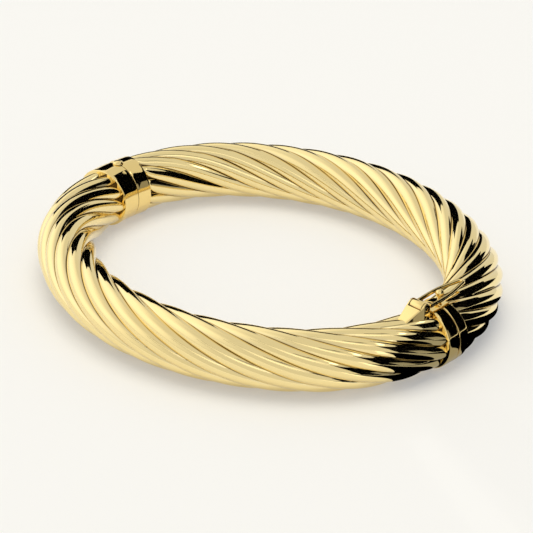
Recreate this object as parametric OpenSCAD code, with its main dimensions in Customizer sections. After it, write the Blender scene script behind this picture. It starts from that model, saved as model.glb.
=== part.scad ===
// Hinged oval bangle of polished gold: a hollow rope-twist tube in two halves,
// joined by a pin hinge at one end and closed at the other by a tongue clasp
// with a swinging safety catch. All sizes are in millimetres. The bangle lies on
// its side on z = 0, with its clasp towards +X and its hinge towards -X.

/* [Oval] */
// Distance from the middle of the oval to the tube's centre line at the clasp
oval_half_length = 33.4; // [31:0.1:36]
// Distance from the middle of the oval to the tube's centre line at the long sides
oval_half_width = 28.1; // [26.5:0.1:30]
// How much smaller the radius round each end of the oval is than its half width
end_tightening = 2.9; // [2.3:0.1:5]

/* [Rope-twist tube] */
// Radius of the tube over the crests of its flutes
crest_r = 4.5; // [4.3:0.05:4.7]
// Number of flutes round the tube
flutes = 10; // [9:1:12]
// Radius of each flute's rounded crest
flute_r = 1.35; // [1.15:0.05:1.5]
// Length along the tube in which a flute turns once round it
flute_pitch = 58.5; // [50:0.1:80]
// Thickness of the tube's wall, measured at the crests and at the valleys
wall = 0.4; // [0.3:0.05:0.6]
// Turn of the back half's flutes at its clasp end, in degrees
back_flute_turn = 2; // [0:0.5:36]
// Turn of the front half's flutes at its hinge end, in degrees
front_flute_turn = 24; // [0:0.5:36]

/* [Collars] */
// Radius of the plain collars on the ends of both halves
collar_r = 4.8; // [4.75:0.05:5.1]
// Length of the front half's collar at the hinge
front_hinge_collar = 3.8; // [2.9:0.1:4.4]
// Length of the back half's collar at the hinge
back_hinge_collar = 3.2; // [2.7:0.1:3.8]
// Length of the front half's collar at the clasp
front_clasp_collar = 1.9; // [1.6:0.1:2.2]
// Length of the back half's collar at the clasp
back_clasp_collar = 1.7; // [1.6:0.1:2.2]
// Width of the open seam between the two collars that meet
seam = 0.1; // [0.06:0.02:0.2]
// How far a tube end is sunk and soldered into its collar
tube_seat = 0.4; // [0.2:0.1:0.8]

/* [Hinge] */
// Angle that the back half swings open, in degrees
open_angle = 36; // [20:1:42]
// Radius of the three hidden hinge knuckles
knuckle_r = 2.0; // [1.6:0.1:2.2]
// Height of the middle knuckle, which belongs to the back half
middle_knuckle_h = 2.2; // [1.6:0.1:3]
// Height from the tube's centre plane to the outer end of the stack of knuckles
knuckle_top = 3.4; // [2.8:0.1:3.6]
// Gap between a knuckle and the collar that it turns in
knuckle_gap = 0.12; // [0.08:0.02:0.2]
// Radius of the hinge pin
pin_r = 0.6; // [0.5:0.05:0.8]
// Running gap between the pin and the knuckles that turn on it
pin_gap = 0.05; // [0.02:0.01:0.08]
// Radius of the pin's domed head
pin_head_r = 0.85; // [0.8:0.05:1.1]
// Height of the pin's domed head above the collars
pin_head_h = 0.45; // [0.3:0.05:0.6]
// How far the pin's lower end lies inside the collars
pin_sunk = 0.1; // [0.05:0.05:0.4]

/* [Tongue] */
// Thickness of the clasp's tongue
tongue_t = 1.4; // [1:0.1:2]
// Height of the clasp's tongue
tongue_h = 4.2; // [3:0.1:4.6]
// How far the tongue reaches past the seam
tongue_reach = 5.2; // [4:0.1:6]
// How deep the tongue is seated in the back half's collar
tongue_seat = 1.0; // [0.6:0.1:1.3]
// Gap round the tongue in its slot
tongue_gap = 0.15; // [0.1:0.05:0.3]

/* [Safety catch] */
// Distance of the catch's middle line from the tube's centre line, towards the wrist
catch_inset = 0.1; // [0:0.1:0.8]
// Distance of the catch's pivot from the seam
pivot_y = 3.6; // [3.1:0.1:3.8]
// Height of the catch's pivot above the tube's centre plane
pivot_h = 5.75; // [5.6:0.05:6.2]
// Radius of the rounded barrel round the pivot
barrel_r = 0.9; // [0.8:0.05:0.95]
// Overall width of the barrel, from ear to ear
barrel_w = 2.9; // [2.7:0.1:3.1]
// Width of each of the barrel's two fixed ears
ear_w = 0.35; // [0.25:0.05:0.4]
// Side gap between an ear and the catch's knuckle
ear_gap = 0.06; // [0.04:0.02:0.1]
// Radius of the catch's pivot pin
catch_pin_r = 0.35; // [0.3:0.05:0.4]
// Length of the sloping ramp behind the barrel
ramp = 3.2; // [2.4:0.1:3.6]
// Width of the ramp at its foot, measured from its side towards the wrist
foot_w = 1.2; // [0.8:0.1:2]
// Thickness of the tang that joins the loop to its knuckle
tang_t = 0.6; // [0.5:0.05:0.7]
// Half width of the loop where it leaves its tang, to the middle of its wire
root_half_w = 1.15; // [0.9:0.05:1.2]
// Radius of the wire of the catch's loop
wire_r = 0.3; // [0.26:0.02:0.38]
// Half width of the loop at its widest, to the middle of its wire
loop_half_w = 1.2; // [1.15:0.05:1.5]
// Distance from the pivot to the widest place of the loop
loop_wide_at = 4.2; // [3.6:0.1:5]
// Half width of the loop at its tip, to the middle of its wire
tip_half_w = 0.42; // [0.42:0.02:0.7]
// Length of the loop from the pivot to the middle of its tip curve
loop_len = 9.6; // [8.6:0.1:10.4]
// Turn of the loop towards the wrist, in degrees
loop_turn = 2; // [0:0.5:6]
// Distance of the ball's middle from the seam
ball_y = 1.2; // [0.9:0.05:1.3]
// Radius of the ball that the loop snaps over
ball_r = 0.64; // [0.5:0.02:0.7]
// Height of the ball's middle above the tube's centre plane
ball_h = 5.9; // [5.75:0.05:6.3]
// Radius of the ball's post
post_r = 0.32; // [0.25:0.01:0.4]

/* [Hidden] */
gold = [0.88, 0.72, 0.38];
$fn = 64;
// The oval is four arcs that run smoothly into each other
end_arc_r = oval_half_width - end_tightening;
end_arc_x = oval_half_length - end_arc_r;
side_arc_r = (end_arc_x * end_arc_x / (oval_half_width - end_arc_r) + end_arc_r + oval_half_width) / 2;
side_arc_y = side_arc_r - oval_half_width;
end_turn = atan2(side_arc_y, end_arc_x);
end_len = end_arc_r * end_turn * PI / 180;
side_len = side_arc_r * (180 - 2 * end_turn) * PI / 180;
half_len = 2 * end_len + side_len;
// Distance from the tube's axis to the centre of each flute's crest curve
flute_c = crest_r - flute_r;
// Where the points of one flute lie, as shares of its width from valley to valley
flute_shares = [0, 0.15, 0.38, 0.62, 0.85];
// Radius of the tube in the valleys between its flutes
valley_r = flute_c * cos(180 / flutes) + sqrt(flute_r * flute_r - pow(flute_c * sin(180 / flutes), 2));
// Distance along the tube from one ring of points to the next
ring_step = 1.6;
// Gap that keeps two fixed pieces from sharing a face
fit_gap = 0.02;
// Distance from the catch's pivot to the start of the loop's wire, clear of the ears
root_y = barrel_r + 0.35;
// Angle, in degrees, that each notch of the hinge has beyond half the swing
relief_spare = 0.6;
// Depth of the lug's foot below the crests of the tube
lug_sunk = 1.1;
// Gap round the catch's knuckle at the bottom and back of its slot
slot_gap = 0.2;

// Direction of the outward normal, in degrees, at distance s along a half tube
function heading(s) =
    s < end_len ? s / end_arc_r * 180 / PI
    : s < end_len + side_len ? end_turn + (s - end_len) / side_arc_r * 180 / PI
    : 180 - (half_len - s) / end_arc_r * 180 / PI;

// Point of the centre line at distance s along a half tube
function spine(s) =
    let(h = heading(s))
    s < end_len ? [end_arc_x + end_arc_r * cos(h), end_arc_r * sin(h)]
    : s < end_len + side_len ? [side_arc_r * cos(h), side_arc_r * sin(h) - side_arc_y]
    : [end_arc_r * cos(h) - end_arc_x, end_arc_r * sin(h)];

// Point of the tube at distance s, radius r and turn t round the centre line
function tube_point(s, r, t) =
    let(p = spine(s), h = heading(s))
    [p[0] + r * cos(t) * cos(h), p[1] + r * cos(t) * sin(h), -r * sin(t)];

// Radius of the fluted outline at a share of one flute's width
function flute_radius(share) =
    let(t = (share - 0.5) * 360 / flutes)
    flute_c * cos(t) + sqrt(flute_r * flute_r - pow(flute_c * sin(t), 2));

// Ring of points on the fluted outside at distance s
function fluted_ring(s, turn) = [
    for (i = [0 : flutes - 1]) for (share = flute_shares)
        tube_point(s, flute_radius(share), turn + 360 * (s / flute_pitch + (i + share) / flutes))
];

// Ring of points on the hollow at distance s, a wall's thickness inside the valleys and crests
function hollow_ring(s, turn) = [
    for (i = [0 : flutes - 1]) for (share = [0, 0.5])
        tube_point(s, (share == 0 ? valley_r : crest_r) - wall,
                   turn + 360 * (s / flute_pitch + (i + share) / flutes))
];

// Two triangles for each four-cornered patch between rings of n points
function skin(first, rings, n, out) = [
    for (k = [0 : rings - 2]) for (i = [0 : n - 1])
        let(a = first + k * n + i, b = first + k * n + (i + 1) % n)
        each out ? [[a, b, a + n], [b, b + n, a + n]] : [[a, a + n, b], [b, a + n, b + n]]
];

// Flat ring of triangles that joins the outside to the hollow at one end
function end_face(outer, inner, flip) =
    let(m = len(flute_shares), no = m * flutes, ni = 2 * flutes)
    [
        for (i = [0 : flutes - 1])
            let(
                o = [for (k = [0 : m]) outer + (i * m + k) % no],
                c = [for (k = [0 : 2]) inner + (2 * i + k) % ni],
                t = [[o[0], o[1], c[0]], [o[1], o[2], c[0]], [o[2], c[1], c[0]], [o[2], o[3], c[1]],
                     [o[3], o[4], c[1]], [o[4], c[2], c[1]], [o[4], o[5], c[2]]]
            )
            for (f = t) flip ? [f[0], f[2], f[1]] : f
    ];

// Hollow fluted tube from distance s0 to distance s1 along the half oval on the +Y side
module rope_tube(s0, s1, turn) {
    n_out = ceil((s1 - s0) / ring_step) + 1;
    n_in = ceil((s1 - s0) / ring_step / 2) + 1;
    outside = [for (k = [0 : n_out - 1]) each fluted_ring(s0 + (s1 - s0) * k / (n_out - 1), turn)];
    hollow = [for (k = [0 : n_in - 1]) each hollow_ring(s0 + (s1 - s0) * k / (n_in - 1), turn)];
    n_ring = len(flute_shares) * flutes;
    n_hollow = 2 * flutes;
    start = len(outside);
    polyhedron(
        points = concat(outside, hollow),
        faces = concat(
            skin(0, n_out, n_ring, false),
            skin(start, n_in, n_hollow, true),
            end_face(0, start, false),
            end_face(start - n_ring, start + len(hollow) - n_hollow, true)
        )
    );
}

// Round disc at the clasp end, bent with the oval, from distance y0 to y1 past the seam
module bent_disc(y0, y1, r) {
    turn = 180 / PI / end_arc_r;
    translate([end_arc_x, 0, 0])
        rotate([0, 0, y0 * turn])
            rotate_extrude(angle = (y1 - y0) * turn)
                translate([end_arc_r, 0])
                    circle(r = r);
}

// Upright cylinder on the hinge's axis between two heights
module on_hinge(r, z0, z1) {
    translate([-oval_half_length, 0, z0])
        cylinder(r = r, h = z1 - z0);
}

// Wedge that is cut from a collar outside the hinge's axis so that the bangle can open
module opening_relief() {
    relief = open_angle / 2 + relief_spare;
    reach = 2 * collar_r;
    translate([-oval_half_length, 0, -reach])
        rotate([0, 0, 180 - relief])
            cube([reach, reach, 2 * reach]);
}

// Curved bar on a circle round the hinge's axis, so that it slides clear as the bangle opens
module tongue_bar(y0, y1, gap) {
    swing_r = 2 * oval_half_length;
    turn = 180 / PI / swing_r;
    translate([-oval_half_length, 0, 0])
        rotate([0, 0, y0 * turn])
            rotate_extrude(angle = (y1 - y0) * turn, $fn = 180)
                translate([swing_r - tongue_t / 2 - gap, -tongue_h / 2 - gap])
                    square([tongue_t + 2 * gap, tongue_h + 2 * gap]);
}

// Lifts the bangle from its middle plane so that its collars rest on z = 0
module on_floor() {
    translate([0, 0, collar_r])
        children();
}

// Frame of the catch: origin on its pivot, +Y along the tube towards the back half
module at_pivot() {
    translate([oval_half_length - catch_inset, -pivot_y, pivot_h])
        children();
}

// Short cylinder along X on the pivot
module on_pivot(r, w) {
    rotate([0, 90, 0])
        cylinder(r = r, h = w, center = true);
}

// Lug with two ears that carries the catch. The ramp behind it narrows towards the wrist,
// as the tube bends that way
module catch_lug() {
    foot = pivot_h - crest_r + lug_sunk;
    knuckle_w = barrel_w - 2 * ear_w + 2 * ear_gap;
    slot_r = barrel_r + slot_gap;
    lean = atan2(foot, ramp);
    foot_y = -barrel_r - ramp;
    at_pivot()
        difference() {
            union() {
                on_pivot(barrel_r, barrel_w);
                translate([-barrel_w / 2, -barrel_r, -foot])
                    cube([barrel_w, 2 * barrel_r, foot]);
                translate([barrel_w / 2, 0, 0])
                    rotate([0, -90, 0])
                        linear_extrude(height = barrel_w)
                            polygon([[barrel_r * cos(lean), -barrel_r * sin(lean)],
                                     [-foot, foot_y], [-foot, 0], [0, 0]]);
            }
            translate([0, 0, -2 * foot])
                linear_extrude(height = 4 * foot)
                    polygon([[barrel_w / 2, -barrel_r * sin(lean)], [foot_w - barrel_w / 2, foot_y],
                             [foot_w - barrel_w / 2, 2 * foot_y], [barrel_w, 2 * foot_y],
                             [barrel_w, -barrel_r * sin(lean)]]);
            translate([-knuckle_w / 2, -slot_r, -slot_r])
                cube([knuckle_w, 3 * slot_r, 3 * slot_r]);
            on_pivot(catch_pin_r + fit_gap, 2 * barrel_w);
        }
}

// Half width of the loop and its slope, at a share of the way from its tang to its widest place
function opening_station(share) =
    let(run = loop_wide_at - root_y, spread = loop_half_w - root_half_w)
    [root_half_w + spread * sin(90 * share), root_y + run * share,
     90 - atan(spread / run * cos(90 * share) * PI / 2)];

// The same at a share of the way from its widest place to its tip
function closing_station(share) =
    let(run = loop_len - loop_wide_at, spread = loop_half_w - tip_half_w)
    [tip_half_w + spread * cos(90 * share), loop_wide_at + run * share,
     90 + atan(spread / run * sin(90 * share) * PI / 2)];

// The same on the small curve of the tip, which starts where the sides lean in
function tip_station(share) =
    let(lean = closing_station(1)[2] - 90, t = lean + (90 - lean) * share)
    [tip_half_w * cos(t), loop_len + tip_half_w * sin(t), t + 90];

// Stations of the loop's wire, each an X, a Y and the direction of travel in degrees
function loop_path() =
    let(side = [
        for (t = [0 : 0.25 : 0.75]) opening_station(t),
        for (t = [0 : 0.2 : 0.8]) closing_station(t),
        for (t = [0 : 0.2 : 0.8]) tip_station(t)
    ])
    concat(side, [tip_station(1)],
           [for (i = [len(side) - 1 : -1 : 0]) [-side[i][0], side[i][1], 360 - side[i][2]]]);

// Wire loop of the catch, round the ball and narrowed to its tip
module catch_loop() {
    path = loop_path();
    n = len(path);
    sides = 10;
    polyhedron(
        points = [
            for (q = path) for (k = [0 : sides - 1])
                let(t = 360 * k / sides)
                [q[0] + wire_r * cos(t) * sin(q[2]), q[1] - wire_r * cos(t) * cos(q[2]), wire_r * sin(t)]
        ],
        faces = concat(
            [[for (k = [sides - 1 : -1 : 0]) k]],
            skin(0, n, sides, true),
            [[for (k = [0 : sides - 1]) (n - 1) * sides + k]]
        )
    );
}

// The front half's end at the hinge: a collar with the top and bottom knuckles
module front_hinge_end() {
    split = middle_knuckle_h / 2;
    difference() {
        union() {
            difference() {
                rotate([0, 0, 180])
                    bent_disc(seam / 2, front_hinge_collar, collar_r);
                mirror([0, 1, 0])
                    opening_relief();
                on_hinge(knuckle_r + knuckle_gap, -split - knuckle_gap, split + knuckle_gap);
            }
            on_hinge(knuckle_r, split + knuckle_gap / 2, knuckle_top);
            on_hinge(knuckle_r, -knuckle_top, -split - knuckle_gap / 2);
        }
        on_hinge(pin_r + fit_gap, -2 * collar_r, 2 * collar_r);
    }
}

// The back half's end at the hinge: a collar with the middle knuckle
module back_hinge_end() {
    split = middle_knuckle_h / 2;
    difference() {
        union() {
            difference() {
                rotate([0, 0, 180])
                    bent_disc(-back_hinge_collar, -seam / 2, collar_r);
                opening_relief();
                on_hinge(knuckle_r + knuckle_gap, split - knuckle_gap / 2, knuckle_top + knuckle_gap);
                on_hinge(knuckle_r + knuckle_gap, -knuckle_top - knuckle_gap, -split + knuckle_gap / 2);
            }
            on_hinge(knuckle_r, -split, split);
        }
        on_hinge(pin_r + pin_gap, -2 * collar_r, 2 * collar_r);
    }
}

// The front half's end at the clasp: a collar with the tongue's slot, and the catch's lug
module front_clasp_end() {
    difference() {
        union() {
            bent_disc(-front_clasp_collar, -seam / 2, collar_r);
            catch_lug();
        }
        tongue_bar(-2 * collar_r, seam, tongue_gap);
    }
}

// The back half's end at the clasp: a collar with the ball of the safety catch
module back_clasp_end() {
    difference() {
        union() {
            bent_disc(seam / 2, back_clasp_collar, collar_r);
            at_pivot()
                rotate([0, 0, loop_turn])
                    translate([0, pivot_y + ball_y, -pivot_h]) {
                        cylinder(r = post_r, h = ball_h);
                        translate([0, 0, ball_h])
                            sphere(r = ball_r);
                    }
        }
        tongue_bar(-seam, tongue_seat + fit_gap, fit_gap);
    }
}

// Front half: its tube, with both collars and the catch's lug soldered on
module front_half() {
    color(gold)
        on_floor() {
            rotate([0, 0, 180])
                rope_tube(front_hinge_collar - tube_seat, half_len - front_clasp_collar + tube_seat,
                          front_flute_turn);
            front_hinge_end();
            front_clasp_end();
        }
}

// Back half: its tube, with both collars and the catch's ball soldered on
module back_half() {
    color(gold)
        on_floor() {
            rope_tube(back_clasp_collar - tube_seat, half_len - back_hinge_collar + tube_seat,
                      back_flute_turn);
            back_hinge_end();
            back_clasp_end();
        }
}

// Hinge pin: flush below, with a low domed head on top of the collars
module hinge_pin() {
    dome_r = (pin_head_r * pin_head_r + pin_head_h * pin_head_h) / (2 * pin_head_h);
    head_z = collar_r + fit_gap;
    color(gold)
        on_floor() {
            on_hinge(pin_r, -collar_r + pin_sunk, head_z + pin_head_h / 2);
            translate([-oval_half_length, 0, head_z])
                intersection() {
                    cylinder(r = pin_head_r, h = pin_head_h);
                    translate([0, 0, pin_head_h - dome_r])
                        sphere(r = dome_r);
                }
        }
}

// Tongue of the clasp, soldered into the back half's collar
module clasp_tongue() {
    color(gold)
        on_floor()
            tongue_bar(-tongue_reach, tongue_seat, 0);
}

// Safety catch: a knuckle between the lug's ears and a wire loop round the ball
module safety_catch() {
    knuckle_w = barrel_w - 2 * ear_w - 2 * ear_gap;
    color(gold)
        on_floor()
            at_pivot()
                difference() {
                    union() {
                        on_pivot(barrel_r, knuckle_w);
                        translate([-knuckle_w / 2, 0, -tang_t / 2])
                            cube([knuckle_w, root_y + wire_r / 2, tang_t]);
                        rotate([0, 0, loop_turn])
                            catch_loop();
                    }
                    on_pivot(catch_pin_r + pin_gap, 2 * barrel_w);
                }
}

// Pin through the ears and the catch's knuckle
module catch_pin() {
    color(gold)
        on_floor()
            at_pivot()
                on_pivot(catch_pin_r, barrel_w);
}

front_half();
back_half();
hinge_pin();
clasp_tongue();
safety_catch();
catch_pin();
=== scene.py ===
# %% [markdown]
# # A hinged rope-twist bangle in polished gold
# This lesson dresses a bangle that already exists as exact solids. The real one is a
# hollow oval tube with ten spiralling flutes, cut in two halves. A pin hinge joins
# them at one end. At the other end a tongue slides into the front half, and a small
# wire loop swings over a ball so that the bangle can't open by accident.
#
# The solids are right in size but plain. Here each visible piece is built again with
# the softer edges, rounded flute ends and fine wear that polished gold shows close up.
# We start by loading the solids as a fixed frame, so every new piece has something
# to sit on and to move with.

# %% Load the frame
import math

import bmesh
import bpy
import numpy as np
from mathutils import Matrix, Vector


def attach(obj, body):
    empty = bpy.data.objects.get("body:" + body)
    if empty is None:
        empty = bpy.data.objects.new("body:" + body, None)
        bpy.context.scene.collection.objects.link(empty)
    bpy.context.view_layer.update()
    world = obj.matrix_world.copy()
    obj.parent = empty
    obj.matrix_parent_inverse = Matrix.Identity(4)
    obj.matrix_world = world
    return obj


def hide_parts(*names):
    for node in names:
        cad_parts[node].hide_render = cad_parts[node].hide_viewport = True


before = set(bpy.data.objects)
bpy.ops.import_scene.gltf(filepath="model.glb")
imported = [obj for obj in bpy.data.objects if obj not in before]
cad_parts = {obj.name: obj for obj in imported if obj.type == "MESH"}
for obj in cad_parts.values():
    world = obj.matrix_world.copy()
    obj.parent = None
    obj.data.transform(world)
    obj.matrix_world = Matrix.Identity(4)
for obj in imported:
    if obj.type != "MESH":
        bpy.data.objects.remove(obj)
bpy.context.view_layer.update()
print("solids loaded:", ", ".join(sorted(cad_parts)))

# %% [markdown]
# ## The camera
# The bangle lies on its side and the camera looks down on it at about 28 degrees,
# from beyond the corner between the clasp and the front. A long lens keeps the oval
# from stretching, as in a catalogue picture. A small vertical shift lifts the bangle
# to the middle of the frame without tilting the camera.

# %% Set up the camera
MM = 0.001
COLLAR_R = 4.8
CAMERA_TURN = math.radians(43.81)
CAMERA_RISE = math.radians(28.16)
CAMERA_FAR = 329.7
SENSOR_WIDTH = 36
LENS = 145.1
SHIFT_X = -0.0007
SHIFT_Y = -0.0181

to_camera = Vector((
    math.sin(CAMERA_TURN) * math.cos(CAMERA_RISE),
    -math.cos(CAMERA_TURN) * math.cos(CAMERA_RISE),
    math.sin(CAMERA_RISE),
))
camera = bpy.data.objects.new("camera", bpy.data.cameras.new("camera"))
bpy.context.scene.collection.objects.link(camera)
camera.location = (Vector((0, 0, COLLAR_R)) + to_camera * CAMERA_FAR) * MM
camera.rotation_mode = "QUATERNION"
camera.rotation_quaternion = (-to_camera).to_track_quat("-Z", "Y")
camera.data.sensor_width = SENSOR_WIDTH
camera.data.lens = LENS
camera.data.shift_x = SHIFT_X
camera.data.shift_y = SHIFT_Y
camera.data.clip_start = 0.01
camera.data.clip_end = 20
bpy.context.scene.camera = camera
print("camera is", round(camera.location.length, 3), "m from the middle of the bangle")

# %% [markdown]
# ## The centre line
# A bracelet maker bends the tube on an oval mandrel. The oval here is four arcs that
# run smoothly into each other: a tight arc round each end and a flatter one along each
# side. Everything is measured in millimetres along one half, from 0 at one joint to
# the full half length at the other, so collars and flutes are easy to place. The front
# half is the same half oval turned by 180 degrees.

# %% Describe the centre line
OVAL_HALF_LENGTH = 33.4
OVAL_HALF_WIDTH = 28.1
END_R = 25.2
END_X = OVAL_HALF_LENGTH - END_R
SIDE_R = (END_X**2 / (OVAL_HALF_WIDTH - END_R) + END_R + OVAL_HALF_WIDTH) / 2
SIDE_Y = SIDE_R - OVAL_HALF_WIDTH
END_TURN = math.atan2(SIDE_Y, END_X)
END_LEN = END_R * END_TURN
SIDE_LEN = SIDE_R * (math.pi - 2 * END_TURN)
HALF_LEN = 2 * END_LEN + SIDE_LEN


def heading(s):
    """Direction that faces away from the wrist, in radians, at distance s along a half."""
    s = np.asarray(s, float)
    on_side = END_TURN + (s - END_LEN) / SIDE_R
    return np.where(s < END_LEN, s / END_R,
                    np.where(s < END_LEN + SIDE_LEN, on_side, math.pi - (HALF_LEN - s) / END_R))


def spine(s):
    """X and Y of the centre line at distance s along a half."""
    s = np.asarray(s, float)
    h = heading(s)
    first, last = s < END_LEN, s >= END_LEN + SIDE_LEN
    r = np.where(first | last, END_R, SIDE_R)
    x = np.where(first, END_X, np.where(last, -END_X, 0.0))
    y = np.where(first | last, 0.0, -SIDE_Y)
    return x + r * np.cos(h), y + r * np.sin(h)


def round_spine(s, r, t, front):
    """Points at distance s, radius r and turn t round the centre line of one half."""
    x, y = spine(s)
    h = heading(s)
    out = r * np.cos(t)
    side = -1.0 if front else 1.0
    return np.stack([
        side * (x + out * np.cos(h)),
        side * (y + out * np.sin(h)),
        COLLAR_R - r * np.sin(t),
    ], axis=-1)


print("one half measures", round(HALF_LEN, 2), "mm along its centre line")

# %% [markdown]
# ## Helpers for rings of points
# Tubes, collars, pins and wires are all rings of points joined by four-cornered faces.
# One helper joins the rings and can close the ends. Another turns a finished mesh from
# millimetres to metres, smooths it up to its sharp edges and lets it ride on a body.

# %% Join rings into a mesh
def ring_faces(start, rings, n, close=True):
    """Faces between rings of n points, numbered from start."""
    k, i = np.meshgrid(np.arange(rings - 1), np.arange(n if close else n - 1), indexing="ij")
    a = start + k * n + i
    b = start + k * n + (i + 1) % n
    return np.stack([a, b, b + n, a + n], axis=-1).reshape(-1, 4)


def new_mesh(name, points, faces):
    """An object in millimetres from points and faces, with all faces turned outwards."""
    mesh = bpy.data.meshes.new(name)
    mesh.from_pydata(np.asarray(points, float).tolist(), [], [list(map(int, f)) for f in faces])
    b = bmesh.new()
    b.from_mesh(mesh)
    bmesh.ops.recalc_face_normals(b, faces=b.faces)
    b.to_mesh(mesh)
    b.free()
    obj = bpy.data.objects.new(name, mesh)
    bpy.context.scene.collection.objects.link(obj)
    return obj


def capped_rings(name, rings):
    """A closed solid from an array of rings, each of n points."""
    count, n = rings.shape[:2]
    faces = ring_faces(0, count, n).tolist()
    faces.append(list(range(n)))
    faces.append([(count - 1) * n + i for i in range(n)])
    return new_mesh(name, rings.reshape(-1, 3), faces)


# %% Finish a piece
def settle(obj, body, nodes, material, sharp=40):
    """Scales a piece to metres, smooths it up to its sharp edges and lets it ride on a body."""
    obj.data.transform(Matrix.Scale(MM, 4))
    obj.data.shade_smooth()
    obj.data.set_sharp_from_angle(angle=math.radians(sharp))
    obj.data.materials.clear()
    obj.data.materials.append(material)
    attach(obj, body)
    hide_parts(*nodes)
    print(obj.name, "has", len(obj.data.polygons), "faces and rides on", body)
    return obj


# %% Cut and join solids
def apply_modifiers(obj):
    """Replaces a piece's mesh with the result of its modifiers."""
    graph = bpy.context.evaluated_depsgraph_get()
    mesh = bpy.data.meshes.new_from_object(obj.evaluated_get(graph))
    obj.modifiers.clear()
    obj.data = mesh


def combine(obj, others, operation):
    """Cuts the others from obj, or joins them to it, and removes them."""
    for other in others:
        step = obj.modifiers.new("step", "BOOLEAN")
        step.operation = operation
        step.solver = "EXACT"
        step.object = other
    apply_modifiers(obj)
    for other in others:
        bpy.data.objects.remove(other)
    return obj


def soften(obj, width, segments=2, angle=35):
    """Rounds the edges of a piece that are sharper than an angle."""
    step = obj.modifiers.new("edges", "BEVEL")
    step.width = width
    step.segments = segments
    step.limit_method = "ANGLE"
    step.angle_limit = math.radians(angle)
    apply_modifiers(obj)
    return obj


print("helpers are ready")

# %% [markdown]
# ## Polished gold
# Yellow gold is a metal, so its colour is all in its reflection. Close up it isn't one
# flat colour: the alloy drifts a little between paler and deeper yellow, and the crests
# that rub on skin and cloth are finely scratched. Shade is painted into the bottom of
# each valley as a thin dark line with darker, warmer gold beside it, and the same painted
# shade fills the low neck between the flute noses at each collar. The flutes carry a value
# per point, low in a valley and 1 on a crest, and the material reads it. It is a value on
# the mesh and not a picture, so it follows the spiral exactly. The slow drift is added to
# it, or the painted dark lines would look drawn with a ruler. The plain collars and the
# catch look a little warmer in the picture; they are the same alloy, so their deeper mix
# is a painted warmer reflection.

# %% Choose the tones
GOLD_PALE = (0.95, 0.80, 0.42, 1)
GOLD_DEEP = (0.93, 0.74, 0.34, 1)
GOLD_WARM = (0.92, 0.69, 0.27, 1)
DRIFT_SCALE = 90
VALLEY_SHADE_DRIFT = 0.4
# Painted shade in the valleys, by crest value: near black at the bottom, then darker warm gold, fading out
# up the flanks.
VALLEY_SHADE_TONES = [
    (0.0, (0.03, 0.02, 0.01, 1)),
    (0.34, (0.10, 0.06, 0.02, 1)),
    (0.42, (0.70, 0.54, 0.24, 1)),
    (0.54, (0.88, 0.74, 0.42, 0.7)),
    (0.78, (0.90, 0.76, 0.44, 0)),
]
print("a flute runs through", len(VALLEY_SHADE_TONES), "tones from its valley up")


def node(tree, kind, **values):
    """A shader node with its input values set by name."""
    n = tree.nodes.new(kind)
    for key, value in values.items():
        n.inputs[key.replace("_", " ")].default_value = value
    return n


def drifting_gold(tree, place, tones):
    """Gold that drifts slowly between two tones: the drift, and the colour that it gives."""
    drift = node(tree, "ShaderNodeTexNoise", Scale=DRIFT_SCALE, Detail=3)
    tree.links.new(place, drift.inputs["Vector"])
    tone = tree.nodes.new("ShaderNodeMix")
    tone.data_type = "RGBA"
    tone.inputs[6].default_value, tone.inputs[7].default_value = tones
    tree.links.new(drift.outputs["Fac"], tone.inputs[0])
    return drift.outputs["Fac"], tone.outputs[2]


def painted_valley_shade(tree, drift, colour):
    """Paints shade along the bottom of every valley: a thin dark line with darker, warmer gold beside it.
    """
    link = tree.links.new
    crest = tree.nodes.new("ShaderNodeAttribute")
    crest.attribute_name = "crest"
    uneven = tree.nodes.new("ShaderNodeMath")
    uneven.operation = "MULTIPLY_ADD"
    uneven.inputs[1].default_value = VALLEY_SHADE_DRIFT
    link(drift, uneven.inputs[0])
    link(crest.outputs["Fac"], uneven.inputs[2])
    valley = tree.nodes.new("ShaderNodeValToRGB")
    stops = valley.color_ramp.elements
    for height, _ in VALLEY_SHADE_TONES[1:-1]:
        stops.new(height)
    for stop, (height, tint) in zip(stops, VALLEY_SHADE_TONES):
        stop.position, stop.color = height, tint
    link(uneven.outputs["Value"], valley.inputs["Fac"])
    # Lays the painted valley shade over the gold, as strongly as the ramp's alpha.
    valley_shaded = tree.nodes.new("ShaderNodeMix")
    valley_shaded.data_type = "RGBA"
    link(valley.outputs["Alpha"], valley_shaded.inputs[0])
    link(colour, valley_shaded.inputs[6])
    link(valley.outputs["Color"], valley_shaded.inputs[7])
    return valley_shaded.outputs[2]


# %% Mix the gold
SCRATCH_SCALE = 2500
SCRATCH_HEIGHT = 0.00001
SCRATCH_LOW = 0.35
SCRATCH_HIGH = 0.75


def scratched(tree, place, stretch):
    """Fine scratches, as a value per point, stretched by three factors along X, Y and Z."""
    grain = tree.nodes.new("ShaderNodeMapping")
    grain.inputs["Scale"].default_value = stretch
    tree.links.new(place, grain.inputs["Vector"])
    scratches = node(tree, "ShaderNodeTexNoise", Scale=SCRATCH_SCALE, Detail=4, Roughness=0.7)
    tree.links.new(grain.outputs["Vector"], scratches.inputs["Vector"])
    return scratches.outputs["Fac"]


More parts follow.
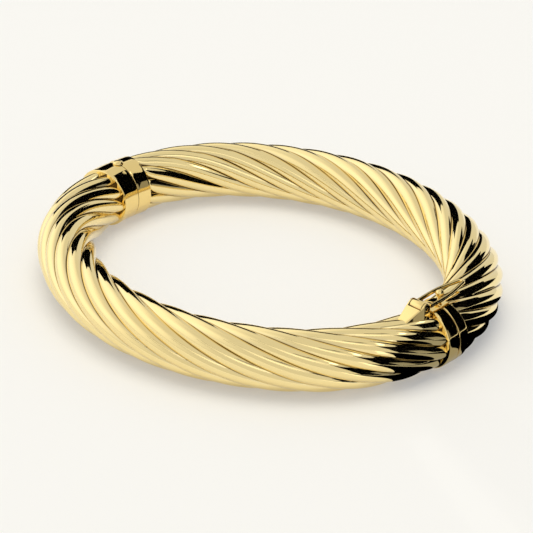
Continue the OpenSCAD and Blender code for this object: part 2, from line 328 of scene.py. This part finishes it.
def gold(name, tones, stretch, scratch_depth, rough_low, rough_high, fluted=False):
    """Polished gold in two tones, with fine scratches that also make it rougher, and painted shade along
    the valleys when fluted.
    """
    material = bpy.data.materials.new(name)
    material.use_nodes = True
    tree = material.node_tree
    link = tree.links.new
    metal = tree.nodes["Principled BSDF"]
    metal.inputs["Metallic"].default_value = 1
    place = tree.nodes.new("ShaderNodeTexCoord").outputs["Object"]
    drift, colour = drifting_gold(tree, place, tones)
    link(painted_valley_shade(tree, drift, colour) if fluted else colour, metal.inputs["Base Color"])
    scratches = scratched(tree, place, stretch)
    rough = tree.nodes.new("ShaderNodeMapRange")
    rough.inputs["From Min"].default_value = SCRATCH_LOW
    rough.inputs["From Max"].default_value = SCRATCH_HIGH
    rough.inputs["To Min"].default_value = rough_low
    rough.inputs["To Max"].default_value = rough_high
    link(scratches, rough.inputs["Value"])
    link(rough.outputs["Result"], metal.inputs["Roughness"])
    bump = node(tree, "ShaderNodeBump", Strength=scratch_depth, Distance=SCRATCH_HEIGHT)
    link(scratches, bump.inputs["Height"])
    link(bump.outputs["Normal"], metal.inputs["Normal"])
    return material


fluted_gold = gold("fluted_gold", (GOLD_PALE, GOLD_DEEP), (1, 1, 1), 0.04, 0.03, 0.10, fluted=True)
# Collars and catch: the same gold in a deeper, warmer mix, a painted warmer reflection.
collar_gold = gold("collar_gold", (GOLD_DEEP, GOLD_WARM), (0.3, 0.3, 3), 0.04, 0.02, 0.08)
catch_gold = gold("catch_gold", (GOLD_DEEP, GOLD_WARM), (1, 1, 1), 0.05, 0.04, 0.12)
print("mixed", len(bpy.data.materials), "materials")

# %% [markdown]
# ## The fluted tube
# Each half is a hollow tube whose wall was pressed into ten flutes and twisted by
# about one and two thirds turns. A flute is round on top and meets its neighbour in a
# narrow valley. We build it ring by ring: each ring is the fluted outline, turned a
# little further than the one before it. Close to a collar every flute ends in a rounded
# nose, as the metal does where it was worked down to fit the collar. The noses rise
# faster than they widen, and they start just under the collar, so no bare neck shows.

# %% Shape one flute
CREST_R = 4.5
FLUTES = 10
FLUTE_R = 1.35
FLUTE_PITCH = 58.5
WALL = 0.4
TUBE_SEAT = 0.4
HINGE_NOSE = 3.0
CLASP_NOSE = 1.1
NOSE_SUNK = 0.35
NOSE_RISE = 3
NECK_R = 3.8
VALLEY_ROUND = 0.03
FLUTE_C = CREST_R - FLUTE_R
VALLEY_R = (FLUTE_C * math.cos(math.pi / FLUTES)
            + math.sqrt(FLUTE_R**2 - (FLUTE_C * math.sin(math.pi / FLUTES))**2))


def soft_max(a, b, blend):
    """The larger of a and b, with a small round where they cross."""
    gap = np.clip(0.5 + 0.5 * (a - b) / blend, 0, 1)
    return b + (a - b) * gap + blend * gap * (1 - gap)


def flute_radius(turn, raised, grown):
    """Radius at an angle from a flute's crest, as its nose grows in height and in width."""
    reach = NECK_R + (CREST_R - NECK_R) * raised
    rho = np.maximum(FLUTE_R * grown, 1e-4)
    centre = reach - rho

    def one(angle):
        inside = rho**2 - (centre * np.sin(angle))**2
        bulge = centre * np.cos(angle) + np.sqrt(np.maximum(inside, 0))
        return np.where(inside > 0, bulge, 0.0)

    mine = one(turn)
    neighbour = one(2 * math.pi / FLUTES - np.abs(turn))
    return soft_max(soft_max(mine, neighbour, VALLEY_ROUND), np.full_like(mine, NECK_R), VALLEY_ROUND)


print("valleys lie", round(CREST_R - VALLEY_R, 2), "mm below the crests")


# %% Set out the rings
POINTS_PER_FLUTE = 21
OUTER_PER_INNER = 3
RINGS_PER_INNER = 4
RING_STEP = 0.5
FINE_STEP = 0.1
FINE_SPARE = 0.3
VALLEY_CROWD = 0.5
VALLEY_VALUE = 0.1


def along(start, end, fine_len):
    """Distances from start to end, set closer together near both ends."""
    edge = np.arange(0, fine_len, FINE_STEP)
    count = int((end - start - 2 * fine_len) / RING_STEP) + 1
    middle = np.linspace(start + fine_len, end - fine_len, count)
    return np.concatenate([start + edge, middle, (end - edge)[::-1]])


def fluted_rings(s, from_tip):
    """Radius, crest value and place among the flutes of every point, ring by ring."""
    grown = np.sqrt(1 - (1 - np.clip(from_tip, 0, 1))**2)
    raised = np.sqrt(1 - (1 - np.clip(NOSE_RISE * from_tip, 0, 1))**2)
    share = np.arange(POINTS_PER_FLUTE) / POINTS_PER_FLUTE
    share = share - VALLEY_CROWD * np.sin(2 * math.pi * share) / (2 * math.pi)
    near_crest = (share - 0.5) * 2 * math.pi / FLUTES
    r = flute_radius(near_crest[None, :] + np.zeros((len(s), 1)), raised[:, None], grown[:, None])
    crest = VALLEY_VALUE + (1 - VALLEY_VALUE) * (r - VALLEY_R) / (CREST_R - VALLEY_R)
    flute = (np.arange(FLUTES)[:, None] + share[None, :]).reshape(-1) / FLUTES
    return np.tile(r, (1, FLUTES)), np.tile(crest, (1, FLUTES)), flute


print("a ring has", FLUTES * POINTS_PER_FLUTE, "points")


# %% Line the tube
def inner_wall(s, first_turn, count, front):
    """Rings of points on the plain inside of the tube, twisted along with the flutes."""
    r = min(VALLEY_R, NECK_R) - WALL
    t = np.linspace(0, 2 * math.pi, count, endpoint=False) + first_turn
    twist = 2 * math.pi * (s - s[0])[:, None] / FLUTE_PITCH
    return round_spine(s[:, None], np.full((len(s), count), r), t[None, :] + twist, front)


print("the inside is", round(2 * (min(VALLEY_R, NECK_R) - WALL), 2), "mm wide")


# %% Build a fluted half
def fluted_tube(name, face_0, face_1, nose_0, nose_1, turn, front):
    """Hollow fluted tube between collar faces at face_0 and face_1, with noses of two lengths."""
    s = along(face_0 - TUBE_SEAT, face_1 + TUBE_SEAT, TUBE_SEAT + max(nose_0, nose_1) + FINE_SPARE)
    from_tip = np.minimum((s - face_0 + NOSE_SUNK) / nose_0, (face_1 - s + NOSE_SUNK) / nose_1)
    r, crest, flute = fluted_rings(s, from_tip)
    t = math.radians(turn) + 2 * math.pi * (s[:, None] / FLUTE_PITCH + flute[None, :])
    outside = round_spine(s[:, None], r, t, front)
    inner_s = s[::RINGS_PER_INNER]
    if inner_s[-1] != s[-1]:
        inner_s = np.append(inner_s, s[-1])
    n_out = r.shape[1]
    n_in = n_out // OUTER_PER_INNER
    inside = inner_wall(inner_s, t[0, 0], n_in, front)
    start = len(s) * n_out
    faces = ring_faces(0, len(s), n_out).tolist() + ring_faces(start, len(inner_s), n_in).tolist()
    for ring, inner in ((0, start), ((len(s) - 1) * n_out, start + (len(inner_s) - 1) * n_in)):
        for i in range(n_in):
            a = [ring + (OUTER_PER_INNER * i + k) % n_out for k in range(OUTER_PER_INNER + 1)]
            faces.append(a + [inner + (i + 1) % n_in, inner + i])
    tube = new_mesh(name, np.concatenate([outside.reshape(-1, 3), inside.reshape(-1, 3)]), faces)
    # The inside gets crest 0, so it is painted with the darkest valley shade.
    values = np.concatenate([np.clip(crest.reshape(-1), 0, 1), np.zeros(len(inner_s) * n_in)])
    given_crest = tube.data.attributes.new("crest", "FLOAT", "POINT")
    given_crest.data.foreach_set("value", values.astype(np.float32))
    return tube


# %% Place the two fluted halves
SEAM = 0.1
FRONT_HINGE_COLLAR = 3.8
BACK_HINGE_COLLAR = 3.2
FRONT_CLASP_COLLAR = 1.9
BACK_CLASP_COLLAR = 1.7
FRONT_FLUTE_TURN = 24.0
BACK_FLUTE_TURN = 2.0

front_tube = fluted_tube("front_tube", FRONT_HINGE_COLLAR, HALF_LEN - FRONT_CLASP_COLLAR,
                         HINGE_NOSE, CLASP_NOSE, FRONT_FLUTE_TURN, True)
back_tube = fluted_tube("back_tube", BACK_CLASP_COLLAR, HALF_LEN - BACK_HINGE_COLLAR,
                        CLASP_NOSE, HINGE_NOSE, BACK_FLUTE_TURN, False)
settle(front_tube, "front", ["front_half"], fluted_gold, sharp=60)
settle(back_tube, "back", ["back_half"], fluted_gold, sharp=60)

# %% [markdown]
# ## The collars
# A plain collar is soldered on each end of both halves. It hides the ends of the flutes
# and gives the hinge and the clasp solid metal to work in. A collar is a short bent
# cylinder with a broken edge: that thin rounded rim is what draws the bright line round
# it in the picture. We sweep a round outline along the oval and shrink it over the last
# fraction of a millimetre.

# %% Sweep the collars
RIM = 0.18
SEAM_RIM = 0.09
COLLAR_SIDES = 160
COLLAR_RINGS = 6
RIM_RINGS = 5


def collar(name, s0, s1, front, rim_0, rim_1):
    """Solid collar between distances s0 and s1, with its two rims rounded."""
    bend = np.linspace(0, math.pi / 2, RIM_RINGS)
    plain = np.linspace(s0 + rim_0, s1 - rim_1, COLLAR_RINGS + 2)[1:-1]
    s = np.concatenate([s0 + rim_0 * (1 - np.cos(bend)), plain, (s1 - rim_1 * (1 - np.cos(bend)))[::-1]])
    r = np.concatenate([COLLAR_R - rim_0 * (1 - np.sin(bend)), np.full(COLLAR_RINGS, COLLAR_R),
                        (COLLAR_R - rim_1 * (1 - np.sin(bend)))[::-1]])
    t = np.linspace(0, 2 * math.pi, COLLAR_SIDES, endpoint=False)
    rings = round_spine(s[:, None], r[:, None] + 0 * t, t[None, :] + 0 * r[:, None], front)
    return capped_rings(name, rings)


def first_collar(name, length, front):
    """Collar at the start of a half, from the seam inwards."""
    return collar(name, SEAM / 2, length, front, SEAM_RIM, RIM)


def last_collar(name, length, front):
    """Collar at the end of a half, out to the seam."""
    return collar(name, HALF_LEN - length, HALF_LEN - SEAM / 2, front, RIM, SEAM_RIM)


front_hinge = first_collar("front_hinge_end", FRONT_HINGE_COLLAR, True)
back_hinge = last_collar("back_hinge_end", BACK_HINGE_COLLAR, False)
front_clasp = last_collar("front_clasp_end", FRONT_CLASP_COLLAR, True)
back_clasp = first_collar("back_clasp_end", BACK_CLASP_COLLAR, False)
print("swept four collars")

# %% [markdown]
# ## The hinge
# Three knuckles are stacked on one upright pin. The outer two belong to the front half
# and the middle one to the back half, so the halves turn past each other. Outside the
# pin each collar is cut away by a wedge, or they would jam as the bangle opens. Exact
# cuts do this best: the solids stay closed and every edge lands where it should.

# %% Describe the hinge
OPEN_ANGLE = 36
RELIEF_SPARE = 0.6
RELIEF = math.radians(OPEN_ANGLE / 2 + RELIEF_SPARE)
KNUCKLE_R = 2.0
KNUCKLE_GAP = 0.12
KNUCKLE_TOP = 3.4
SPLIT = 1.1
PIN_R = 0.6
FIT_GAP = 0.02
PIN_GAP = 0.05
THROUGH = 6
HINGE_X = -OVAL_HALF_LENGTH
HINGE_SIDES = 64


def on_hinge(name, r, z0, z1):
    """Upright bar on the hinge's axis, with heights measured from the tube's middle."""
    t = np.linspace(0, 2 * math.pi, HINGE_SIDES, endpoint=False)
    ring = np.stack([HINGE_X + r * np.cos(t), r * np.sin(t), 0 * t], axis=-1)
    return capped_rings(name, np.stack([ring + [0, 0, COLLAR_R + z0], ring + [0, 0, COLLAR_R + z1]]))


def wedge(name, side):
    """Cutter for the notch outside the hinge, on the +Y or -Y side."""
    reach = 2 * COLLAR_R
    a, b = math.pi - RELIEF, 1.5 * math.pi - RELIEF
    plan = [(0, 0), (math.cos(a), math.sin(a)), (math.cos(a) + math.cos(b), math.sin(a) + math.sin(b)),
            (math.cos(b), math.sin(b))]
    ring = np.array([[HINGE_X + reach * x, side * reach * y, 0] for x, y in plan])
    return capped_rings(name, np.stack([ring + [0, 0, -reach], ring + [0, 0, 3 * reach]]))


print("each collar gives way by", round(math.degrees(RELIEF), 1), "degrees")

# %% Cut the front half's share of the hinge
combine(front_hinge, [
    wedge("notch", -1),
    on_hinge("middle_room", KNUCKLE_R + KNUCKLE_GAP, -SPLIT - KNUCKLE_GAP, SPLIT + KNUCKLE_GAP),
], "DIFFERENCE")
combine(front_hinge, [
    on_hinge("top_knuckle", KNUCKLE_R, SPLIT + KNUCKLE_GAP / 2, KNUCKLE_TOP),
    on_hinge("bottom_knuckle", KNUCKLE_R, -KNUCKLE_TOP, -SPLIT - KNUCKLE_GAP / 2),
], "UNION")
combine(front_hinge, [on_hinge("bore", PIN_R + FIT_GAP, -THROUGH, THROUGH)], "DIFFERENCE")
print("the front hinge collar has", len(front_hinge.data.polygons), "faces")

# %% Cut the back half's share of the hinge
combine(back_hinge, [
    wedge("notch", 1),
    on_hinge("top_room", KNUCKLE_R + KNUCKLE_GAP, SPLIT - KNUCKLE_GAP / 2, KNUCKLE_TOP + KNUCKLE_GAP),
    on_hinge("bottom_room", KNUCKLE_R + KNUCKLE_GAP, -KNUCKLE_TOP - KNUCKLE_GAP, -SPLIT + KNUCKLE_GAP / 2),
], "DIFFERENCE")
combine(back_hinge, [on_hinge("middle_knuckle", KNUCKLE_R, -SPLIT, SPLIT)], "UNION")
combine(back_hinge, [on_hinge("bore", PIN_R + PIN_GAP, -THROUGH, THROUGH)], "DIFFERENCE")
settle(front_hinge, "front", ["front_half"], collar_gold, sharp=25)
settle(back_hinge, "back", ["back_half"], collar_gold, sharp=25)

# %% [markdown]
# ## The hinge pin
# The pin is a turned rod with a low domed head on top and a foot that ends nearly flush
# underneath. It is a shape that a lathe makes, so we give its outline as radius and
# height, and spin it.

# %% Turn the pin
def turned(name, outline, x, y, sides=48):
    """Solid of revolution about an upright axis from (radius, height) pairs."""
    t = np.linspace(0, 2 * math.pi, sides, endpoint=False)
    rings = np.array([[[x + r * math.cos(a), y + r * math.sin(a), z] for a in t] for r, z in outline])
    return capped_rings(name, rings)


PIN_HEAD_R = 0.85
PIN_HEAD_H = 0.45
PIN_LIP = 0.06
PIN_FOOT = 0.1
PIN_EDGE = 0.08
PIN_TOP_FLAT = 0.08
CROWN_RINGS = 9
head = COLLAR_R * 2 + FIT_GAP
foot = [(PIN_R - PIN_EDGE, PIN_FOOT), (PIN_R, PIN_FOOT + PIN_EDGE)]
crown = [(PIN_HEAD_R * math.cos(a), head + PIN_LIP + (PIN_HEAD_H - PIN_LIP) * math.sin(a))
         for a in np.linspace(0, math.pi / 2 - PIN_TOP_FLAT, CROWN_RINGS)]
pin = turned("hinge_pin_turned", foot + [(PIN_R, head), (PIN_HEAD_R, head)] + crown, HINGE_X, 0)
settle(pin, "front", ["hinge_pin"], catch_gold)

# %% [markdown]
# ## The clasp's tongue
# Inside the clasp a plain tongue, set in the back half, slides into a slot in the front
# half. It shows only while the bangle is open. It follows a circle round the hinge, which
# is the path it has to travel, and its tip is eased so that it finds the slot.

# %% Make the tongue and its slot
TONGUE_T = 1.4
TONGUE_H = 4.2
TONGUE_REACH = 5.2
TONGUE_SEAT = 1.0
TONGUE_GAP = 0.15
SLOT_SPARE = 0.5
TIP_LEN = 0.8
TIP_EASE = 0.3
TONGUE_ROUND = 0.12
TONGUE_RINGS = 14
CORNERS = ((-1, -1), (1, -1), (1, 1), (-1, 1))


def tongue_bar(name, y0, y1, gap, ease=0.0):
    """Bar along a circle round the hinge, from y0 to y1, slimmer by ease at its low end."""
    swing = 2 * OVAL_HALF_LENGTH
    rings = []
    for y in np.linspace(y0, y1, TONGUE_RINGS):
        slim = ease * max(0.0, 1 - (y - y0) / TIP_LEN)**2
        turn, half_t, half_h = y / swing, TONGUE_T / 2 + gap - slim, TONGUE_H / 2 + gap - slim
        outline = [(swing + u * half_t, COLLAR_R + v * half_h) for u, v in CORNERS]
        rings.append([[HINGE_X + r * math.cos(turn), r * math.sin(turn), z] for r, z in outline])
    return capped_rings(name, np.array(rings))


slot_end = -FRONT_CLASP_COLLAR - SLOT_SPARE
combine(front_clasp, [tongue_bar("slot", slot_end, SEAM, TONGUE_GAP)], "DIFFERENCE")
combine(back_clasp, [tongue_bar("seat", -SEAM, TONGUE_SEAT + FIT_GAP, FIT_GAP)], "DIFFERENCE")
tongue = soften(tongue_bar("tongue", -TONGUE_REACH, TONGUE_SEAT, 0, TIP_EASE), TONGUE_ROUND, segments=3)
settle(tongue, "back", ["clasp_tongue"], collar_gold)

# %% [markdown]
# ## The ball and the safety catch
# A ball on a short post stands on the back collar. A wire loop, hinged in a lug on the
# front half, snaps down over it. We draw the lug's side view as an outline, give it
# width, cut one corner so that its ramp narrows towards the wrist, round its edges and
# cut the slot for the moving knuckle. All of it is built in a small frame of its own,
# with its origin on the catch's pivot, and then moved there.

# %% Set up the catch's own frame
CATCH_X = OVAL_HALF_LENGTH - 0.1
PIVOT_Y = 3.6
PIVOT_H = 5.75
LOOP_TURN = 2
to_pivot = Matrix.Translation((CATCH_X, -PIVOT_Y, COLLAR_R + PIVOT_H))
turn_loop = Matrix.Rotation(math.radians(LOOP_TURN), 4, "Z")
BARREL_R = 0.9
BARREL_W = 2.9
EAR_W = 0.35
EAR_GAP = 0.06
CATCH_PIN_R = 0.35
AXLE_SIDES = 48


def slab(name, outline, x0, x1):
    """Solid from a side view given as (y, z) pairs, between two values of X."""
    ring = np.array([[0, y, z] for y, z in outline])
    return capped_rings(name, np.stack([ring + [x0, 0, 0], ring + [x1, 0, 0]]))


def axle(name, r, half_w):
    """Round bar along X on the pivot, as far to one side as to the other."""
    t = np.linspace(0, 2 * math.pi, AXLE_SIDES, endpoint=False)
    return slab(name, [(r * math.cos(a), r * math.sin(a)) for a in t], -half_w, half_w)


def block(name, low, high):
    """Box between two corners."""
    (x0, y0, z0), (x1, y1, z1) = low, high
    return slab(name, [(y0, z0), (y1, z0), (y1, z1), (y0, z1)], x0, x1)


print("the catch turns", round(PIVOT_H, 2), "mm above the middle of the tube")

# %% Describe the lug
RAMP = 3.2
FOOT_W = 1.2
LUG_SUNK = 1.1
LUG_ROUND = 0.2
SLOT_GAP = 0.2
PIN_ROUND = 0.06
ACROSS = 2
FOOT = PIVOT_H - CREST_R + LUG_SUNK
lean = math.atan2(FOOT, RAMP)
TOP_STEPS = 24


def ramp_corner():
    """Cutter that narrows the ramp towards the wrist, from its top down to its foot."""
    taper_y, foot_y = -BARREL_R * math.sin(lean), -BARREL_R - RAMP
    foot_x = FOOT_W - BARREL_W / 2
    plan = [(BARREL_W / 2, taper_y), (foot_x, foot_y), (foot_x, 2 * foot_y), (BARREL_W, 2 * foot_y),
            (BARREL_W, taper_y)]
    ring = np.array([[x, y, 0] for x, y in plan])
    return capped_rings("corner", np.stack([ring - [0, 0, 2 * FOOT], ring + [0, 0, 2 * FOOT]]))


print("the lug is", round(2 * BARREL_R + RAMP, 2), "mm long and", round(FOOT + BARREL_R, 2), "mm tall")

# %% Make the lug
arc = np.linspace(math.pi / 2 + lean, 0, TOP_STEPS)
round_top = [(BARREL_R * math.cos(a), BARREL_R * math.sin(a)) for a in arc]
side_view = [(-BARREL_R - RAMP, -FOOT)] + round_top + [(BARREL_R, -FOOT)]
lug = slab("catch_lug", side_view, -BARREL_W / 2, BARREL_W / 2)
combine(lug, [ramp_corner()], "DIFFERENCE")
soften(lug, LUG_ROUND, segments=4, angle=50)
slot_half, slot_low = BARREL_W / 2 - EAR_W + EAR_GAP, -BARREL_R - SLOT_GAP
combine(lug, [block("slot", (-slot_half, slot_low, slot_low), (slot_half, ACROSS, ACROSS)),
              axle("bore", CATCH_PIN_R + FIT_GAP, ACROSS)], "DIFFERENCE")
lug.data.transform(to_pivot)
settle(lug, "front", ["front_half"], catch_gold, sharp=35)

# %% Turn the catch's pin
catch_pin = soften(axle("catch_pin_turned", CATCH_PIN_R, BARREL_W / 2), PIN_ROUND)
catch_pin.data.transform(to_pivot)
settle(catch_pin, "front", ["catch_pin"], catch_gold, sharp=35)

# %% Describe the loop
TANG_REACH = 0.35
ROOT_Y = BARREL_R + TANG_REACH
ROOT_HALF_W = 1.15
LOOP_HALF_W = 1.2
LOOP_WIDE_AT = 4.2
TIP_HALF_W = 0.42
LOOP_LEN = 9.6
WIRE_R = 0.3
WIDE_STEPS = 14
TAPER_STEPS = 18
TIP_STEPS = 12


def loop_side():
    """Points of the loop's +X side, from its root to the middle of its tip."""
    points = []
    for share in np.linspace(0, 1, WIDE_STEPS)[:-1]:
        points.append((ROOT_HALF_W + (LOOP_HALF_W - ROOT_HALF_W) * math.sin(share * math.pi / 2),
                       ROOT_Y + (LOOP_WIDE_AT - ROOT_Y) * share))
    for share in np.linspace(0, 1, TAPER_STEPS)[:-1]:
        points.append((TIP_HALF_W + (LOOP_HALF_W - TIP_HALF_W) * math.cos(share * math.pi / 2),
                       LOOP_WIDE_AT + (LOOP_LEN - LOOP_WIDE_AT) * share))
    start = math.atan((LOOP_HALF_W - TIP_HALF_W) / (LOOP_LEN - LOOP_WIDE_AT) * math.pi / 2)
    for share in np.linspace(0, 1, TIP_STEPS):
        a = start + (math.pi / 2 - start) * share
        points.append((TIP_HALF_W * math.cos(a), LOOP_LEN + TIP_HALF_W * math.sin(a)))
    return points


print("the loop reaches", LOOP_LEN, "mm past its pivot")


# %% Bend the loop
def wire(name, path, r, sides=20):
    """Round wire along a flat path of (x, y) points."""
    p = np.array(path)
    way = np.gradient(p, axis=0)
    way /= np.linalg.norm(way, axis=1)[:, None]
    t = np.linspace(0, 2 * math.pi, sides, endpoint=False)
    across = np.stack([way[:, 1], -way[:, 0]], axis=-1)
    x = p[:, :1] + r * np.cos(t) * across[:, :1]
    y = p[:, 1:] + r * np.cos(t) * across[:, 1:]
    z = np.broadcast_to(r * np.sin(t), x.shape)
    return capped_rings(name, np.stack([x, y, z], axis=-1))


half = loop_side()
loop = wire("safety_loop", half + [(-x, y) for x, y in half[-2::-1]], WIRE_R)
loop.data.transform(turn_loop)
print("the loop's wire is", 2 * WIRE_R, "mm thick")

# %% Join the loop to its knuckle
TANG_T = 0.6
TANG_ROUND = 0.08
knuckle_half = BARREL_W / 2 - EAR_W - EAR_GAP
knuckle = soften(axle("knuckle", BARREL_R, knuckle_half), PIN_ROUND)
tang = block("tang", (-knuckle_half, 0, -TANG_T / 2), (knuckle_half, ROOT_Y + WIRE_R / 2, TANG_T / 2))
combine(loop, [knuckle, soften(tang, TANG_ROUND)], "UNION")
combine(loop, [axle("bore", CATCH_PIN_R + PIN_GAP, ACROSS)], "DIFFERENCE")
loop.data.transform(to_pivot)
settle(loop, "catch", ["safety_catch"], catch_gold, sharp=35)

# %% Set the ball
BALL_R = 0.64
BALL_Y = 1.2
BALL_H = 5.9
BALL_LOW = math.radians(-60)
BALL_HIGH = math.radians(86)
BALL_RINGS = 22
POST = ((0.42, -0.1), (0.36, 0.06), (0.32, 0.16))
collar_top = COLLAR_R * 2
ball_at = to_pivot @ turn_loop @ Vector((0, PIVOT_Y + BALL_Y, 0))
post = [(r, collar_top + h) for r, h in POST]
ball = [(BALL_R * math.cos(a), COLLAR_R + BALL_H + BALL_R * math.sin(a))
        for a in np.linspace(BALL_LOW, BALL_HIGH, BALL_RINGS)]
catch_ball = turned("catch_ball", post + ball, ball_at.x, ball_at.y)
settle(catch_ball, "back", ["back_half"], catch_gold, sharp=35)
settle(front_clasp, "front", ["front_half"], collar_gold, sharp=25)
settle(back_clasp, "back", ["back_half"], collar_gold, sharp=25)

# %% [markdown]
# ## Floor and light
# Polished metal shows the room more than itself. A jeweller's photographer puts a wide
# soft tent of light round the piece, lays it on a pale sheet that is lit from below, and
# stands black cards beside it. The tent makes the cream bands on the flutes, the glowing
# sheet keeps the shadow small and grey, and the cards draw the crisp black patches. The
# cards here show in reflections only: the camera doesn't see them and they shade nothing.

# %% Lay the sheet
SHEET_HALF = 2
SHEET_COLOUR = (0.62, 0.60, 0.55, 1)
SHEET_ROUGH = 0.9
SHEET_GLOW = (0.97, 0.98, 1, 1)
SHEET_GLOW_STRENGTH = 0.29

floor_mesh = bpy.data.meshes.new("floor")
floor_mesh.from_pydata([(SHEET_HALF * x, SHEET_HALF * y, 0) for x, y in CORNERS], [], [(0, 1, 2, 3)])
floor = bpy.data.objects.new("floor", floor_mesh)
bpy.context.scene.collection.objects.link(floor)
paper = bpy.data.materials.new("paper")
paper.use_nodes = True
sheet = paper.node_tree.nodes["Principled BSDF"]
sheet.inputs["Base Color"].default_value = SHEET_COLOUR
sheet.inputs["Roughness"].default_value = SHEET_ROUGH
sheet.inputs["Emission Color"].default_value = SHEET_GLOW
sheet.inputs["Emission Strength"].default_value = SHEET_GLOW_STRENGTH
floor_mesh.materials.append(paper)
print("the sheet is", 2 * SHEET_HALF, "m wide")


# %% Find directions round the bangle
def toward(turn, rise):
    """Direction at a turn to the right of the camera's side and a rise above the floor, in degrees."""
    a, e = math.radians(turn) - math.pi / 2 + CAMERA_TURN, math.radians(rise)
    return np.array([math.cos(a) * math.cos(e), math.sin(a) * math.cos(e), math.sin(e)])


print("the camera lies toward", toward(0, math.degrees(CAMERA_RISE)).round(2))

# %% Make surfaces that only reflections show
CREAM = (1.0, 0.985, 0.94)


def glowing(name, light=None):
    """Plain glowing surface, black where light is 0. Without a light it reads one per point."""
    material = bpy.data.materials.new(name)
    material.use_nodes = True
    tree = material.node_tree
    tree.nodes.clear()
    glow = node(tree, "ShaderNodeEmission", Strength=light or 0.0, Color=(*CREAM, 1))
    if light is None:
        given = tree.nodes.new("ShaderNodeAttribute")
        given.attribute_name = "light"
        tree.links.new(given.outputs["Fac"], glow.inputs["Strength"])
    out = tree.nodes.new("ShaderNodeOutputMaterial")
    tree.links.new(glow.outputs[0], out.inputs["Surface"])
    return material


def only_in_reflections(name, points, rings, n, material):
    """Open grid of rings of n points that the camera doesn't see and that shades nothing."""
    mesh = bpy.data.meshes.new(name)
    mesh.from_pydata([tuple(map(float, q)) for q in points], [], ring_faces(0, rings, n, False).tolist())
    mesh.materials.append(material)
    obj = bpy.data.objects.new(name, mesh)
    bpy.context.scene.collection.objects.link(obj)
    obj.visible_camera = False
    obj.visible_diffuse = False
    obj.visible_shadow = False
    return obj


def shell(name, turns, rises, far, material):
    """Part of a large sphere round the bangle, over a grid of turns and rises."""
    points = [toward(a, e) * far for e in rises for a in turns]
    return only_in_reflections(name, points, len(rises), len(turns), material)


# %% Hang the tent of light
DOME_FAR = 1.5
DOME_LIGHT = 0.77
SIDE_LIGHT = 0.50
SIDE_TURN, SIDE_RISE = (-115, 20, 85), (32, 8, 44)
HIGH_LIGHT = 0.62
HIGH_TURN, HIGH_RISE = (5, 5, 60), (52, 2, 16)
DOME_TURNS, DOME_RISES = 121, 41


def hill(value, middle, inner, outer):
    """1 within inner of the middle, falling softly to 0 at outer."""
    x = np.clip((outer - np.abs(value - middle)) / (outer - inner), 0, 1)
    return x * x * (3 - 2 * x)


turns, rises = np.linspace(-180, 180, DOME_TURNS), np.linspace(-2, 90, DOME_RISES)
dome = shell("dome", turns, rises, DOME_FAR, glowing("dome"))
turn_grid, rise_grid = np.meshgrid(turns, rises)
light = DOME_LIGHT + SIDE_LIGHT * hill(turn_grid, *SIDE_TURN) * hill(rise_grid, *SIDE_RISE)
light += HIGH_LIGHT * hill(turn_grid, *HIGH_TURN) * hill(rise_grid, *HIGH_RISE)
given_light = dome.data.attributes.new("light", "FLOAT", "POINT")
given_light.data.foreach_set("value", light.reshape(-1).astype(np.float32))
print("the tent's light runs from", round(light.min(), 2), "to", round(light.max(), 2))

# %% Stand cards round the bangle
CARD_FAR = 1.2
CARD_TURNS, CARD_RISES = 25, 13


def card(name, turn, rise, light):
    """Card round the bangle, between two turns and two rises, as bright as its light."""
    turns, rises = np.linspace(*turn, CARD_TURNS), np.linspace(*rise, CARD_RISES)
    return shell(name, turns, rises, CARD_FAR, glowing(name, light))


card("side_card", (45, 150), (24, 51), 0.0)
card("side_card_front", (43, 64), (-1, 24), 0.0)
card("side_card_window", (64, 82), (-1, 24), 0.3)
card("side_card_back", (82, 136), (-1, 24), 0.0)
card("side_card_edge", (75, 122), (58, 62), 2.4)
card("thin_gap", (8, 75), (67, 73), 0.25)
card("thin_gap_low", (-60, 40), (43.7, 45.2), 0.2)
card("thin_gap_high", (-60, 40), (60, 61.5), 0.2)
card("back_card", (172, 206), (-1, 30), 0.0)
print("the cards stand", CARD_FAR, "m from the bangle")

# %% Lay cards on the sheet
CARD_LIFT = 0.0003
CARD_NEAR = 0.027
STRIP_NEAR = 0.040
CARD_END = 0.2
FLOOR_TURNS = 13


def floor_card(name, turn, near, light):
    """Card just above the sheet, beside the clasp, between two turns and from near outwards."""
    middle = np.array([END_X * MM, 0, CARD_LIFT])
    turns = np.linspace(*turn, FLOOR_TURNS)
    points = [middle + toward(a, 0) * r for r in (near, CARD_END) for a in turns]
    return only_in_reflections(name, points, 2, len(turns), glowing(name, light))


floor_card("floor_strip", (19, 24), STRIP_NEAR, 1.5)
floor_card("floor_card_front", (26, 41), CARD_NEAR, 0.0)
floor_card("floor_card_window", (41, 53), CARD_NEAR, 0.35)
floor_card("floor_card_back", (53, 90), CARD_NEAR, 0.0)

# %% Hang the lamp over the sheet
LAMP_HEIGHT = 1.0
LAMP_SIZE = 0.8
LAMP_POWER = 5.6
LAMP_COLOUR = (1.0, 0.94, 0.79)
ROOM_COLOUR = (0.95, 1, 1.1, 1)
ROOM_STRENGTH = 0.6

lamp = bpy.data.lights.new("overhead", "AREA")
lamp.size = LAMP_SIZE
lamp.energy = LAMP_POWER
lamp.color = LAMP_COLOUR
overhead = bpy.data.objects.new("overhead", lamp)
bpy.context.scene.collection.objects.link(overhead)
overhead.location = (0, 0, LAMP_HEIGHT)
overhead.visible_glossy = False
room = bpy.data.worlds.new("room")
bpy.context.scene.world = room
room.use_nodes = True
room.node_tree.nodes["Background"].inputs["Color"].default_value = ROOM_COLOUR
room.node_tree.nodes["Background"].inputs["Strength"].default_value = ROOM_STRENGTH
bpy.context.scene.view_settings.view_transform = "Standard"
print("the lamp hangs", LAMP_HEIGHT, "m above the sheet")
